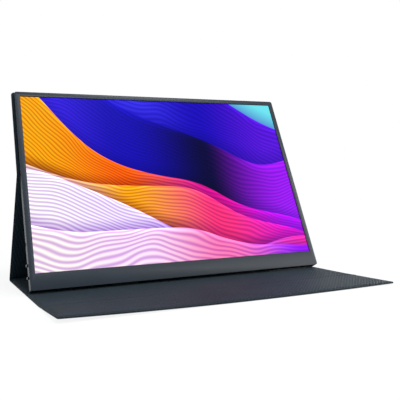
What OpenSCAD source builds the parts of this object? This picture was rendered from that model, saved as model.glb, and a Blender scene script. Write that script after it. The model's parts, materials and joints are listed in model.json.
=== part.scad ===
// Portable monitor with a folding cover, standing on a table.
// +X is the viewer's right, +Y points behind the monitor and +Z is up.
// The origin is on the table, at the middle of the cover's footprint.
// Sizes are in millimetres. The monitor is drawn upright in its own frame, with its front face
// at y = 0 and its bottom edge at z = 0, and is then leaned back.

/* [Screen] */
// Width of the picture area
screen_w = 344.7; // [250:0.1:420]
// Height of the picture area
screen_h = 215.4; // [170:0.1:280]
// Width of the bezel beside the picture
side_border = 6.15; // [5:0.05:12]
// Width of the bezel above the picture
top_border = 6.2; // [5:0.05:12]
// Height of the chin below the picture
chin = 18.4; // [15:0.1:30]

/* [Monitor body] */
// Thickness of the body at its bottom
body_t = 10.5; // [10:0.1:16]
// Thickness of the body at its top edge
top_t = 4.6; // [4.5:0.1:8]
// Height of the part of the back that is parallel to the screen
hump_h = 78; // [76:1:110]
// Radius of the outline's corners
corner_r = 2.5; // [2.2:0.1:10]
// Radius of the rear edges
edge_r = 2; // [0.5:0.1:2.2]
// Thickness of the rear case's side walls
side_wall = 1.2; // [0.8:0.1:1.5]
// Thickness of the rear case's back wall
back_wall = 1; // [0.8:0.1:1.2]
// Thickness of the bezel
bezel_t = 2; // [1.8:0.1:2.4]
// Thickness of the bezel's lip over the display
lip_t = 0.8; // [0.6:0.1:1]

/* [Display] */
// Width of the display's dark border outside the picture
cell_border = 2; // [1.5:0.1:3]
// Height of the display's ledge below the picture
cell_ledge = 6; // [4:0.5:8]
// Thickness of the adhesive ring between lip and display
tape_t = 0.2; // [0.1:0.05:0.3]
// Thickness of the display glass
cell_t = 1; // [0.6:0.1:1]
// Thickness of the stack of optical films
films_t = 0.3; // [0.2:0.1:0.4]
// Thickness of the light guide
guide_t = 0.5; // [0.4:0.1:0.7]
// Thickness of the reflector sheet
reflector_t = 0.2; // [0.1:0.1:0.3]
// Thickness of the display's metal tray
tray_t = 0.3; // [0.2:0.1:0.4]
// Width of the frame that centres the light guide
mould_w = 1.2; // [0.8:0.1:2]

/* [Electronics] */
// Depth from the front face to the main board and the key board
board_depth = 3.8; // [3.6:0.1:4.2]
// Thickness of both boards
board_pcb_t = 1; // [0.8:0.1:1.2]
// Width of the main board
main_w = 124; // [90:1:150]
// Height of the main board
main_h = 44; // [40:1:46]
// Height of the main board's lower edge
main_z = 28; // [27:1:30]
// Width of the key board
key_board_w = 16; // [14:1:24]
// Height of the sockets' metal shells
socket_h = 3.2; // [3:0.1:3.4]
// Depth of the sockets into the monitor
socket_l = 7.4; // [6:0.1:9]
// Width of the USB-C sockets' shells
usb_w = 9; // [8.9:0.1:9.2]
// Width of the mini HDMI socket's shell
hdmi_w = 11.2; // [11:0.1:11.6]
// Radius of the audio jack's bore
jack_r = 1.8; // [1.77:0.01:1.85]
// Depth of the audio jack's bore
jack_bore_l = 12; // [10:0.5:14]
// Height of the audio jack above the bottom edge
jack_z = 52; // [46:1:54]

/* [Keys] */
// Height of the power key above the bottom edge
power_z = 15.3; // [12:0.1:18]
// Height of the menu key above the bottom edge
menu_z = 28.7; // [24:0.1:34]
// Radius of the round keys
key_r = 1.6; // [1.2:0.05:1.9]
// Distance that the keys stand out of the side wall
key_proud = 1.6; // [0.8:0.1:1.9]
// Travel of the keys
key_travel = 0.4; // [0.2:0.05:0.5]

/* [Sound] */
// Width of each speaker
speaker_w = 46; // [30:1:56]
// Distance of the speakers' middles from the monitor's sides
speaker_inset = 42.5; // [40:0.5:50]
// Number of slots below each speaker
slot_count = 5; // [3:1:6]

/* [Cover] */
// Distance that the cover reaches past the monitor on each side
cover_side = 3; // [2:0.5:6]
// Distance that the cover reaches past the monitor's top
cover_top = 2; // [1:0.5:6]
// Thickness of the outer skin
skin_t = 0.7; // [0.6:0.05:0.8]
// Thickness of the stiffening boards
board_t = 1.1; // [1:0.1:1.6]
// Thickness of the lining
lining_t = 0.7; // [0.6:0.05:0.8]
// Radius of the cover's free corners
cover_r = 3; // [3:0.5:12]
// Height on the monitor of the crease above the strut
crease_h = 136; // [126:1:150]
// Width of the spine
spine_w = 12; // [11:0.5:16]
// Length of the front cover, from the spine to its free edge
front_len = 242; // [235:1:300]
// Length of the front cover's last panel
flap_len = 65; // [50:1:70]
// Length of the board under the monitor's bottom edge
seat_len = 88; // [80:1:95]
// Half the width of a crease between two boards
crease_half = 3; // [2.8:0.1:4]

/* [Stand] */
// Angle by which the monitor leans back from upright
tilt = 24.3; // [20:0.1:30]
// Gap between the monitor's bottom edge and the cover it stands on
foot_gap = 0.3; // [0.2:0.05:0.4]
// Angle by which the strut is steeper than the monitor's lower back
strut_steeper = 0.7; // [0.5:0.1:0.9]

/* [Fits] */
// Running clearance round the keys and in the creases
run_gap = 0.05; // [0.03:0.01:0.08]
// Clearance round pieces that lie in pockets
pocket_gap = 0.1; // [0.05:0.05:0.2]

/* [Hidden] */
$fn = 48;

// Outside of the monitor
body_w = screen_w + 2 * side_border;
body_h = chin + screen_h + top_border;
ramp_slope = (body_t - top_t) / (body_h - hump_h);
ramp_angle = atan(ramp_slope);
function back_depth(z) = z < hump_h ? body_t : body_t - (z - hump_h) * ramp_slope;

// Layers of the display, as depths of their front faces
tape_y = lip_t;
cell_y = tape_y + tape_t;
films_y = cell_y + cell_t;
guide_y = films_y + films_t;
reflector_y = guide_y + guide_t;
tray_y = reflector_y + reflector_t;
tray_back = tray_y + tray_t;
cell_w = screen_w + 2 * cell_border;
cell_bottom = chin - cell_ledge;
cell_top = chin + screen_h + cell_border;
cell_h = cell_top - cell_bottom;
window_gap = 0.4;

// Boards and sockets
board_back = board_depth + board_pcb_t;
inner_back = body_t - back_wall;
inner_side = body_w / 2 - side_wall;
main_x0 = inner_side - 2 - main_w;
socket_y = board_back + socket_h / 2;
socket_shell = 0.3;
socket_back = 1;
tongue_t = 0.7;
usb_lower_z = main_z + 7;
usb_upper_z = usb_lower_z + 14;
hdmi_z = usb_upper_z + 15;
jack_body_h = 4.2;
jack_body_w = 6;
jack_nose_r = jack_r + 0.8;
jack_y = board_back + jack_body_h / 2;
jack_body_l = jack_bore_l + 0.6;
key_board_x = -inner_side + 1.6;
key_board_z = [power_z - 5.8, jack_z + 8];
switch_h = 3.6;
switch_l = 4.4;
key_y = board_back + switch_h / 2;
flange_r = key_r + 0.6;
flange_t = 0.8;
plunger_r = 0.9;
plunger_l = 1;
stem_l = 1;
switch_x = -inner_side + run_gap + flange_t + stem_l + key_travel + run_gap + plunger_l;
cable_x = main_x0 + 30;
cable_w = 24;
tcon_t = 0.8;
tcon_w = 200;
tcon_x = cable_x + 18.7 - tcon_w / 2;
tcon_z = [cell_bottom + 1, cell_bottom + 11];
flex_t = 0.2;

// Screws and their posts
case_screw_z = 6.5;
case_screw_x = [60, body_w / 2 - 12.5];
post_r = 2.2;
screw_r = 1;
head_r = 1.9;
head_t = 0.5;
screw_l = 5;
main_screws = [[main_x0 + 8, main_z + 3], [main_x0 + 8, main_z + main_h - 4],
    [main_x0 + main_w - 24, main_z + 3], [main_x0 + main_w - 24, main_z + main_h - 4]];
key_screws = [[key_board_x + key_board_w - 3, key_board_z[0] + 3],
    [key_board_x + key_board_w - 3, key_board_z[1] - 3]];
board_screw_r = 0.8;
board_head_r = 1.5;
board_head_t = 0.35;

// Speakers
speaker_x = body_w / 2 - speaker_inset;
speaker_z = [3.2, 17.2];
speaker_y = [tray_back + 1.2, inner_back - 0.3];
slot_pitch = 6;
slot_size = [4, 1.2];
slot_y = 5.4;
mesh_t = 0.3;
foot_size = [30, 3, 0.7];
foot_x = 75;
foot_y = 6;
foot_proud = 0.2;
plate_size = [300, 60];
plate_t = 0.3;

// Cover
cover_t = skin_t + board_t + lining_t;
cover_w = body_w + 2 * cover_side;
rim = skin_t;
web_t = 0.7;
base_total = web_t + spine_w + front_len;
magnet_size = [20, 8];
magnet_t = board_t - 0.1;
flap_magnet_x = [60, 150];
upper_magnet_x = [50, 130];

// The rounded rear bottom edge, whose arc's middle is the point that the monitor stands on
stand_y = body_t - edge_r;
stand_z = edge_r;
front_z = cover_t + foot_gap + edge_r + stand_y * sin(tilt) - stand_z * cos(tilt);

// The crease above the strut, in the monitor's own frame and then in the object's
crease_y = back_depth(crease_h) + cover_t / 2 * cos(ramp_angle);
crease_z = crease_h + cover_t / 2 * sin(ramp_angle);
upper_len = (body_h - crease_h) / cos(ramp_angle) + cover_top;
crease_up = front_z - crease_y * sin(tilt) + crease_z * cos(tilt);
crease_back = crease_y * cos(tilt) + crease_z * sin(tilt);
stand_up = cover_t + foot_gap + edge_r;
stand_back = stand_y * cos(tilt) + stand_z * sin(tilt);

// The strut closes the triangle between that crease, the back fold and the monitor's edge
lower_back_angle = atan2(crease_up - stand_up, crease_back - stand_back);
strut_angle = lower_back_angle + strut_steeper;
strut_len = (crease_up - cover_t / 2) / sin(strut_angle);
fold_y = base_total / 2 - web_t;
front_y = fold_y - strut_len * cos(strut_angle) - crease_back;
flap_y = fold_y - spine_w - front_len + flap_len;
spine_y = fold_y - spine_w;
seat_y = flap_y + seat_len;

echo(back_fold = [fold_y, cover_t / 2], crease = [front_y + crease_back, crease_up],
    flap_crease = [flap_y, cover_t / 2], monitor_front_edge = [front_y, front_z],
    strut_len = strut_len, strut_angle = strut_angle, cover_w = cover_w, key_y = key_y,
    jack_y = jack_y, body = [body_w, body_h]);

// Places

// The monitor's own frame, leaned back
module on_monitor() {
    translate([0, front_y, front_z]) rotate([-tilt, 0, 0]) children();
}

// A panel's frame is flat: it runs along +Y from its crease, its mid-plane is at z = 0, and its
// outer face is below
module on_upper() {
    on_monitor() translate([0, crease_y, crease_z]) rotate([90 + ramp_angle, 0, 0]) children();
}

module on_strut() {
    translate([0, fold_y, cover_t / 2]) rotate([-strut_angle, 0, 0])
        rotate([0, 180, 180]) children();
}

module on_base() {
    translate([0, fold_y, cover_t / 2]) rotate([0, 0, 180]) children();
}

module on_flap() {
    translate([0, flap_y, cover_t / 2]) rotate([0, 0, 180]) children();
}

// Shapes

// A rectangle with round corners, centred on x, that starts at y = 0
module round_rect(w, h, r) {
    translate([0, h / 2]) union() {
        square([w - 2 * r, h], center = true);
        square([w, h - 2 * r], center = true);
        for (sx = [-1, 1], sy = [-1, 1]) translate([sx * (w / 2 - r), sy * (h / 2 - r)]) circle(r);
    }
}

// A slab in the monitor's frame: an outline in x and z, from depth y0 to y1
module slab(y0, y1, z0 = 0) {
    translate([0, y1, z0]) rotate([90, 0, 0]) linear_extrude(y1 - y0) children();
}

// A box in the monitor's frame from corner a to corner b
module block(a, b) {
    translate(a) cube(b - a);
}

// A round bar from point a to point b
module rod(a, b, r) {
    d = b - a;
    translate(a) rotate([0, acos(d[2] / norm(d)), atan2(d[1], d[0])]) cylinder(h = norm(d), r = r);
}

// Points of a quarter arc about c, from angle a0 by steps of 15 degrees
function arc_points(c, r, a0) = [for (i = [0:6]) c + r * [cos(a0 + 15 * i), sin(a0 + 15 * i)]];

// Outline of the monitor's side in depth and height, taken in by a wall
function side_outline(y0, side, back, r) = concat(
    [[y0, side]],
    arc_points([body_t - back - r, side + r], r, -90),
    [[body_t - back, hump_h],
     [top_t - back + side * ramp_slope, body_h - side],
     [y0, body_h - side]]);

// The same for its cross-section in width and depth
function cross_outline(y0, side, back, r) = concat(
    [[-body_w / 2 + side, y0], [body_w / 2 - side, y0]],
    arc_points([body_w / 2 - side - r, body_t - back - r], r, 0),
    arc_points([-body_w / 2 + side + r, body_t - back - r], r, 90));

// The rear case's block, from depth y0 to its back, taken in by a wall
module case_block(y0, side = 0, back = 0) {
    r = max(edge_r - side, 0.4);
    intersection() {
        slab(y0, body_t, side) round_rect(body_w - 2 * side, body_h - 2 * side, corner_r - side);
        rotate([90, 0, 90]) linear_extrude(body_w, center = true)
            polygon(side_outline(y0, side, back, r));
        linear_extrude(body_h) polygon(cross_outline(y0, side, back, r));
    }
}

// Round hole or round piece along x in the monitor's frame
module along_x(x0, x1, y, z, r) {
    translate([x0, y, z]) rotate([0, 90, 0]) cylinder(h = x1 - x0, r = r);
}

// Round hole or round piece along y in the monitor's frame
module along_y(y0, y1, x, z, r) {
    translate([x, y1, z]) rotate([90, 0, 0]) cylinder(h = y1 - y0, r = r);
}

// A flat bar with round ends that runs along x in the monitor's frame, for a socket's outline
module socket_bar(x0, x1, z, w, h) {
    translate([x0, socket_y, z]) rotate([90, 0, 90]) linear_extrude(x1 - x0)
        hull_free_bar(w, h);
}

// Outline of a bar of height w and thickness h with quarter-round ends
module hull_free_bar(w, h) {
    r = h / 2;
    union() {
        square([h, w - 2 * r], center = true);
        for (s = [-1, 1]) translate([0, s * (w / 2 - r)]) circle(r);
    }
}

// Monitor

module rear_shell() {
    color("dimgray") on_monitor() difference() {
        union() {
            difference() {
                case_block(bezel_t);
                case_block(bezel_t, side_wall, back_wall);
            }
            for (p = concat(main_screws, key_screws))
                along_y(board_back, inner_back + back_wall / 2, p[0], p[1], post_r);
        }
        for (p = concat(main_screws, key_screws))
            along_y(board_back - 1, inner_back - 0.3, p[0], p[1], board_screw_r + run_gap);
        for (s = [-1, 1], x = case_screw_x) {
            along_y(inner_back - 1, body_t + 1, s * x, case_screw_z, screw_r + 0.1);
            along_y(body_t - head_t, body_t + 1, s * x, case_screw_z, head_r + 0.1);
        }
        for (z = [power_z, menu_z])
            along_x(-body_w / 2 - 1, -inner_side + 1, key_y, z, key_r + run_gap);
        along_x(-body_w / 2 - 1, -inner_side + 1, jack_y, jack_z, jack_nose_r + run_gap);
        for (z = [usb_lower_z, usb_upper_z])
            socket_bar(inner_side - 1, body_w / 2 + 1, z, usb_w + 2 * run_gap, socket_h + 2 * run_gap);
        block([inner_side - 1, socket_y - socket_h / 2 - run_gap, hdmi_z - hdmi_w / 2 - run_gap],
            [body_w / 2 + 1, socket_y + socket_h / 2 + run_gap, hdmi_z + hdmi_w / 2 + run_gap]);
        for (s = [-1, 1]) {
            for (i = [0:slot_count - 1])
                translate([s * speaker_x + (i - (slot_count - 1) / 2) * slot_pitch, slot_y, 0])
                    cube([slot_size[0], slot_size[1], 3 * side_wall], center = true);
            translate([s * foot_x, foot_y, foot_size[2] / 2 - foot_proud])
                cube([foot_size[0] + pocket_gap, foot_size[1] + pocket_gap, foot_size[2]], center = true);
        }
    }
}

module front_bezel() {
    color("darkslategray") on_monitor() difference() {
        union() {
            slab(0, bezel_t) round_rect(body_w, body_h, corner_r);
            for (s = [-1, 1], x = case_screw_x)
                along_y(bezel_t / 2, inner_back, s * x, case_screw_z, post_r);
        }
        slab(-1, bezel_t + 1, chin - window_gap)
            square_from(screen_w + 2 * window_gap, screen_h + 2 * window_gap);
        slab(lip_t, bezel_t + 1, cell_bottom - pocket_gap)
            square_from(cell_w + 2 * pocket_gap, cell_h + 2 * pocket_gap);
        for (s = [-1, 1], x = case_screw_x)
            along_y(body_t - head_t - screw_l - 0.5, inner_back + 1, s * x, case_screw_z,
                screw_r + run_gap);
    }
}

// A rectangle centred on x that starts at y = 0
module square_from(w, h) {
    translate([-w / 2, 0]) square([w, h]);
}

// A layer of the display between two depths, as much smaller than the glass as margin says
module layer(y0, y1, margin = 0) {
    slab(y0, y1, cell_bottom + margin) square_from(cell_w - 2 * margin, cell_h - 2 * margin);
}

module bezel_tape() {
    color("black") on_monitor() difference() {
        layer(tape_y, cell_y);
        slab(tape_y - 1, cell_y + 1, chin - window_gap - 0.1)
            square_from(screen_w + 2 * window_gap + 0.2, screen_h + 2 * window_gap + 0.2);
    }
}

module lcd_cell() {
    color("mediumpurple") on_monitor() layer(cell_y, films_y);
}

module mould_frame() {
    color("white") on_monitor() difference() {
        layer(films_y, tray_y, tray_t);
        layer(films_y - 1, tray_y + 1, tray_t + mould_w);
    }
}

light_margin = tray_t + mould_w + 0.1;
led_strip_h = 2.6;
guide_bottom = cell_bottom + light_margin + led_strip_h;

// A sheet inside the mould frame, above the strip of light-emitting diodes
module light_layer(y0, y1) {
    slab(y0, y1, guide_bottom)
        square_from(cell_w - 2 * light_margin, cell_top - light_margin - guide_bottom);
}

module optical_films() {
    color("whitesmoke") on_monitor() light_layer(films_y, guide_y);
}

module light_guide() {
    color("lightcyan") on_monitor() light_layer(guide_y, reflector_y);
}

module reflector_sheet() {
    color("white") on_monitor() light_layer(reflector_y, tray_y);
}

module led_bar() {
    led_count = 36;
    led_w = 3;
    led_pitch = (cell_w - 2 * light_margin - led_w - 4) / (led_count - 1);
    strip_z = cell_bottom + light_margin;
    color("gold") on_monitor() union() {
        slab(reflector_y, tray_y, strip_z) square_from(cell_w - 2 * light_margin - 2, led_strip_h - 0.2);
        for (i = [0:led_count - 1])
            translate([(i - (led_count - 1) / 2) * led_pitch - led_w / 2, guide_y, strip_z + 1])
                cube([led_w, guide_t, led_strip_h - 1.2]);
    }
}

module panel_back_plate() {
    color("silver") on_monitor() difference() {
        layer(films_y, tray_back);
        layer(films_y - 1, tray_y, tray_t);
    }
}

module tcon_board() {
    chips = [[-70, 9], [-20, 12], [30, 7], [62, 5]];
    color("darkgreen") on_monitor() union() {
        block([tcon_x - tcon_w / 2, tray_back, tcon_z[0]],
            [tcon_x + tcon_w / 2, tray_back + tcon_t, tcon_z[1]]);
        for (c = chips)
            block([tcon_x + c[0], tray_back + tcon_t, tcon_z[0] + 1.5],
                [tcon_x + c[0] + c[1], tray_back + tcon_t + 0.6, tcon_z[0] + 8]);
    }
}

// Side outline of a flat cable that steps from the timing board's back to the main board's back
function panel_cable_line(t) = let (a = tray_back + tcon_t, b = board_back)
    [[a, tcon_z[0] + 2], [a + t, tcon_z[0] + 2], [a + t, tcon_z[1] - 0.5], [b + t, main_z - 0.6],
     [b + t, main_z + 6], [b, main_z + 6], [b, main_z - 0.6], [a, tcon_z[1] - 0.5]];

module panel_cable() {
    color("goldenrod") on_monitor() translate([cable_x, 0, 0]) rotate([90, 0, 90])
        linear_extrude(cable_w, center = true) polygon(panel_cable_line(flex_t));
}

module main_board() {
    coil = [5, 5];
    color("seagreen") on_monitor() difference() {
        union() {
            block([main_x0, board_depth, main_z], [main_x0 + main_w, board_back, main_z + main_h]);
            for (i = [0:4])
                block([main_x0 + 48 + 8 * i, board_back, main_z + main_h - 9],
                    [main_x0 + 48 + 8 * i + coil[0], board_back + 2, main_z + main_h - 9 + coil[1]]);
            for (i = [0:6])
                block([main_x0 + 76 + 4 * i, board_back, main_z + 8],
                    [main_x0 + 78 + 4 * i, board_back + 1, main_z + 12]);
        }
        for (p = main_screws)
            along_y(board_depth - 1, board_back + 1, p[0], p[1], board_screw_r + run_gap);
    }
}

chip_size = 14;
chip_t = 1;
can_size = [34, 26];
can_h = 2.2;
can_t = 0.2;
can_at = [main_x0 + 58, main_z + 8];

module scaler_chip() {
    color("black") on_monitor()
        block([can_at[0] - chip_size / 2, board_back, can_at[1] + 5],
            [can_at[0] + chip_size / 2, board_back + chip_t, can_at[1] + 5 + chip_size]);
}

module shield_can() {
    lo = [can_at[0] - can_size[0] / 2 + 4, board_back, can_at[1]];
    hi = lo + [can_size[0] - 8, can_h, can_size[1]];
    color("silver") on_monitor() difference() {
        block(lo, hi);
        block(lo + [can_t, -1, can_t], hi - [can_t, can_t, can_t]);
    }
}

module usb_c_socket(z) {
    x1 = body_w / 2;
    x0 = x1 - socket_l;
    color("silver") on_monitor() difference() {
        socket_bar(x0, x1, z, usb_w, socket_h);
        socket_bar(x0 + socket_back, x1 + 1, z, usb_w - 2 * socket_shell,
            socket_h - 2 * socket_shell);
    }
}

module usb_c_socket_lower() {
    usb_c_socket(usb_lower_z);
}

module usb_c_socket_upper() {
    usb_c_socket(usb_upper_z);
}

module mini_hdmi_socket() {
    x1 = body_w / 2;
    x0 = x1 - socket_l;
    lo = [x0, socket_y - socket_h / 2, hdmi_z - hdmi_w / 2];
    hi = [x1, socket_y + socket_h / 2, hdmi_z + hdmi_w / 2];
    color("silver") on_monitor() difference() {
        block(lo, hi);
        block(lo + [socket_back, socket_shell, socket_shell], hi - [-1, socket_shell, socket_shell]);
    }
}

// The contact tongues that stand in the sockets, on their back walls
module socket_tongues() {
    x0 = body_w / 2 - socket_l + socket_back;
    x1 = body_w / 2 - 1;
    tongues = [[usb_lower_z, usb_w - 2.3], [usb_upper_z, usb_w - 2.3], [hdmi_z, hdmi_w - 3.2]];
    color("black") on_monitor() for (t = tongues)
        block([x0, socket_y - tongue_t / 2, t[0] - t[1] / 2], [x1, socket_y + tongue_t / 2, t[0] + t[1] / 2]);
}

module audio_jack() {
    nose_x = -body_w / 2 + 0.1;
    body_x = -inner_side + run_gap;
    color("dimgray") on_monitor() difference() {
        union() {
            block([body_x, board_back, jack_z - jack_body_w / 2],
                [nose_x + jack_body_l, board_back + jack_body_h, jack_z + jack_body_w / 2]);
            along_x(nose_x, body_x + 0.8, jack_y, jack_z, jack_nose_r);
        }
        along_x(nose_x - 1, nose_x + jack_bore_l, jack_y, jack_z, jack_r);
    }
}

module key_board() {
    color("seagreen") on_monitor() difference() {
        block([key_board_x, board_depth, key_board_z[0]],
            [key_board_x + key_board_w, board_back, key_board_z[1]]);
        for (p = key_screws)
            along_y(board_depth - 1, board_back + 1, p[0], p[1], board_screw_r + run_gap);
    }
}

module key_switches() {
    color("gray") on_monitor() for (z = [power_z, menu_z]) union() {
        block([switch_x, board_back, z - 2.4], [switch_x + switch_l, board_back + switch_h, z + 2.4]);
        along_x(switch_x - plunger_l, switch_x + 1, key_y, z, plunger_r);
    }
}

module key_cable() {
    color("white") on_monitor()
        block([key_board_x + key_board_w - 8, board_back, menu_z + 10],
            [main_x0 + 8 - post_r - 1, board_back + flex_t, menu_z + 16]);
}

// A round key with a domed end, a flange behind the wall and a stem towards its switch
module round_key(z) {
    x0 = -inner_side + run_gap;
    dome = 0.5;
    neck = key_proud + side_wall - run_gap;
    profile = [[0, -flange_t - stem_l], [plunger_r, -flange_t - stem_l], [plunger_r, -flange_t],
        [flange_r, -flange_t], [flange_r, 0], [key_r, 0], [key_r, neck + 2 * run_gap - dome],
        [key_r - dome * 0.3, neck + 2 * run_gap - dome * 0.3], [key_r - dome, neck + 2 * run_gap],
        [0, neck + 2 * run_gap]];
    translate([x0, key_y, z]) rotate([0, -90, 0]) rotate_extrude() polygon(profile);
}

module power_button() {
    color("lightgray") on_monitor() round_key(power_z);
}

module menu_button() {
    color("lightgray") on_monitor() round_key(menu_z);
}

// A thin speaker box with a raised rubber edge on the side that faces the slots
module speaker(s) {
    lo = [s * speaker_x - speaker_w / 2, speaker_y[0], speaker_z[0]];
    hi = [s * speaker_x + speaker_w / 2, speaker_y[1], speaker_z[1]];
    difference() {
        union() {
            block(lo, hi);
            block([lo[0] + 4, slot_y - 1.4, side_wall + mesh_t + pocket_gap],
                [hi[0] - 4, slot_y + 1.4, lo[2] + 1]);
        }
        block([lo[0] + 5, slot_y - 0.8, 0], [hi[0] - 5, slot_y + 0.8, lo[2] + 4]);
    }
}

module speaker_left() {
    color("black") on_monitor() speaker(-1);
}

module speaker_right() {
    color("black") on_monitor() speaker(1);
}

module speaker_mesh() {
    mesh_w = slot_count * slot_pitch + 4;
    bars = 2 * slot_count;
    color("silver") on_monitor() for (s = [-1, 1]) difference() {
        block([s * speaker_x - mesh_w / 2, slot_y - 1.5, side_wall],
            [s * speaker_x + mesh_w / 2, slot_y + 1.5, side_wall + mesh_t]);
        for (i = [0:bars - 1])
            translate([s * speaker_x + (i - (bars - 1) / 2) * slot_pitch / 2, slot_y, side_wall])
                cube([0.8, 0.8, 2], center = true);
    }
}

// Lead of two stretches with a ball at its bend
module lead(a, b, c, r) {
    union() {
        rod(a, b, r);
        rod(b, c, r);
        translate(b) sphere(r + 0.1);
    }
}

module speaker_leads() {
    r = 0.4;
    lead_y = (speaker_y[0] + speaker_y[1]) / 2;
    lead_z = 11;
    land_z = main_z + 4;
    color("red") on_monitor() union() {
        lead([-speaker_x + speaker_w / 2, lead_y, lead_z], [main_x0 - 10, lead_y, lead_z],
            [main_x0 + 14, board_back + r, land_z], r);
        lead([speaker_x - speaker_w / 2, lead_y, lead_z],
            [speaker_x - speaker_w / 2 - 8, lead_y, lead_z],
            [main_x0 + 46, board_back + r, land_z], r);
    }
}

module case_screws() {
    color("black") on_monitor() for (s = [-1, 1], x = case_screw_x) difference() {
        union() {
            along_y(body_t - head_t, body_t, s * x, case_screw_z, head_r);
            along_y(body_t - head_t - screw_l, body_t - head_t, s * x, case_screw_z, screw_r);
        }
        translate([s * x, body_t, case_screw_z]) for (a = [0, 90])
            rotate([0, a, 0]) cube([2.2, 0.6, 0.5], center = true);
    }
}

module board_screws() {
    color("silver") on_monitor() for (p = concat(main_screws, key_screws)) union() {
        along_y(board_depth - board_head_t, board_depth, p[0], p[1], board_head_r);
        along_y(board_depth - 0.1, board_back + 2.6, p[0], p[1], board_screw_r);
    }
}

module rubber_feet() {
    color("black") on_monitor() for (s = [-1, 1])
        translate([s * foot_x, foot_y, foot_size[2] / 2 - foot_proud]) cube(foot_size, center = true);
}

module holding_plate() {
    corner = [-plate_size[0] / 2, upper_magnet_y - plate_size[1] / 2,
        cover_t / 2 + back_wall * cos(ramp_angle)];
    color("silver") on_upper() translate(corner) cube([plate_size[0], plate_size[1], plate_t]);
}

// Cover panels

// Outline of a panel from y = a to y = b, with round corners at b if it is a free edge
module panel_outline(a, b, r, inset = 0) {
    w = cover_w - 2 * inset;
    rr = max(r - inset, 0);
    translate([0, a + inset]) union() {
        square_from(w, b - a - 2 * inset - rr);
        if (rr > 0) {
            square_from(w - 2 * rr, b - a - 2 * inset);
            for (s = [-1, 1]) translate([s * (w / 2 - rr), b - a - 2 * inset - rr]) circle(rr);
        }
    }
}

// Outer skin of a panel, turned in at its edges, with pockets for its boards and its lining
module panel_skin(a, b, r, boards) {
    z0 = -cover_t / 2;
    difference() {
        translate([0, 0, z0]) linear_extrude(cover_t) panel_outline(a, b, r);
        translate([0, 0, z0 + skin_t + board_t]) linear_extrude(cover_t) panel_outline(a, b, r, rim);
        for (p = boards)
            translate([0, 0, z0 + skin_t]) linear_extrude(cover_t)
                panel_outline(p[0], p[1], p[1] == b ? r : 0, rim);
    }
}

// Stiffening board in a panel's pocket
module panel_board(a, b, r) {
    translate([0, 0, -cover_t / 2 + skin_t]) linear_extrude(board_t)
        panel_outline(a, b, r, rim + pocket_gap);
}

// Lining sheet over a panel's boards, with shallow grooves pressed along the creases
module panel_lining(a, b, r, grooves = []) {
    difference() {
        translate([0, 0, cover_t / 2 - lining_t]) linear_extrude(lining_t)
            panel_outline(a, b, r, rim + pocket_gap / 2);
        for (g = grooves) translate([0, g, cover_t / 2]) rotate([90, 0, 90])
            linear_extrude(cover_w + 2, center = true) polygon([[-1.6, 0.1], [1.6, 0.1], [0, -0.4]]);
    }
}

// The thin web at a crease, on the side that doesn't close: s = -1 outside, s = 1 inside
module web(from, to, s) {
    translate([-cover_w / 2, from, s > 0 ? 0 : -web_t]) cube([cover_w, to - from, web_t]);
}

// The roll on a crease's axis
module crease_roll(y, r = web_t) {
    translate([-cover_w / 2, y, 0]) rotate([0, 90, 0]) cylinder(h = cover_w, r = r);
}

// Upper panel, held on the monitor's upper back

upper_board_range = [crease_half, upper_len];

module upper_skin() {
    color("#2b2f36") on_upper() union() {
        panel_skin(crease_half, upper_len, cover_r, [upper_board_range]);
        web(0, crease_half, 1);
        crease_roll(0);
    }
}

module magnet_slots(x, y, gap) {
    for (s = [-1, 1], p = x) translate([s * p, y, 0])
        cube([magnet_size[0] + 2 * gap, magnet_size[1] + 2 * gap, 4 * cover_t], center = true);
}

module magnets(x, y) {
    for (s = [-1, 1], p = x) translate([s * p, y, -cover_t / 2 + skin_t + magnet_t / 2])
        cube([magnet_size[0], magnet_size[1], magnet_t], center = true);
}

upper_magnet_y = upper_len - 46;

module upper_board() {
    color("burlywood") on_upper() difference() {
        panel_board(upper_board_range[0], upper_board_range[1], cover_r);
        magnet_slots(upper_magnet_x, upper_magnet_y, pocket_gap);
    }
}

module upper_lining() {
    color("#3a3f46") on_upper() panel_lining(crease_half, upper_len, cover_r);
}

module upper_magnets() {
    color("silver") on_upper() magnets(upper_magnet_x, upper_magnet_y);
}

// Strut panel, from the back fold up to the crease on the monitor's back

strut_range = [crease_half, strut_len - crease_half];

module strut_skin() {
    color("#24272d") on_strut() difference() {
        union() {
            panel_skin(strut_range[0], strut_range[1], 0, [strut_range]);
            web(0, strut_range[0], -1);
            web(strut_range[1], strut_len, 1);
        }
        crease_roll(0, web_t + run_gap);
        crease_roll(strut_len, web_t + run_gap);
    }
}

module strut_board() {
    color("burlywood") on_strut() panel_board(strut_range[0], strut_range[1], 0);
}

module strut_lining() {
    color("#1d2025") on_strut() panel_lining(strut_range[0], strut_range[1], 0);
}

// Base panel, flat on the table: the spine and the front cover as far as its crease

base_end = fold_y - flap_y;
spine_crease = fold_y - spine_y;
seat_crease = fold_y - seat_y;
spine_range = [crease_half, spine_crease];
rear_range = [spine_crease, seat_crease];
seat_range = [seat_crease, base_end - crease_half];

module base_skin() {
    color("#2b2f36") on_base() union() {
        panel_skin(crease_half, base_end - crease_half, 0, [spine_range, rear_range, seat_range]);
        web(0, crease_half, -1);
        web(base_end - crease_half, base_end, -1);
        crease_roll(0);
        crease_roll(base_end);
    }
}

module base_lining() {
    color("#3f464e") on_base()
        panel_lining(crease_half, base_end - crease_half, 0, [spine_crease, seat_crease]);
}

module spine_board() {
    color("burlywood") on_base() panel_board(spine_range[0], spine_range[1], 0);
}

module rear_board() {
    color("burlywood") on_base() panel_board(rear_range[0], rear_range[1], 0);
}

module seat_board() {
    color("burlywood") on_base() panel_board(seat_range[0], seat_range[1], 0);
}

// Flap, the front cover's last panel

flap_range = [crease_half, flap_len];
flap_magnet_y = flap_len - 12;

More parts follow.
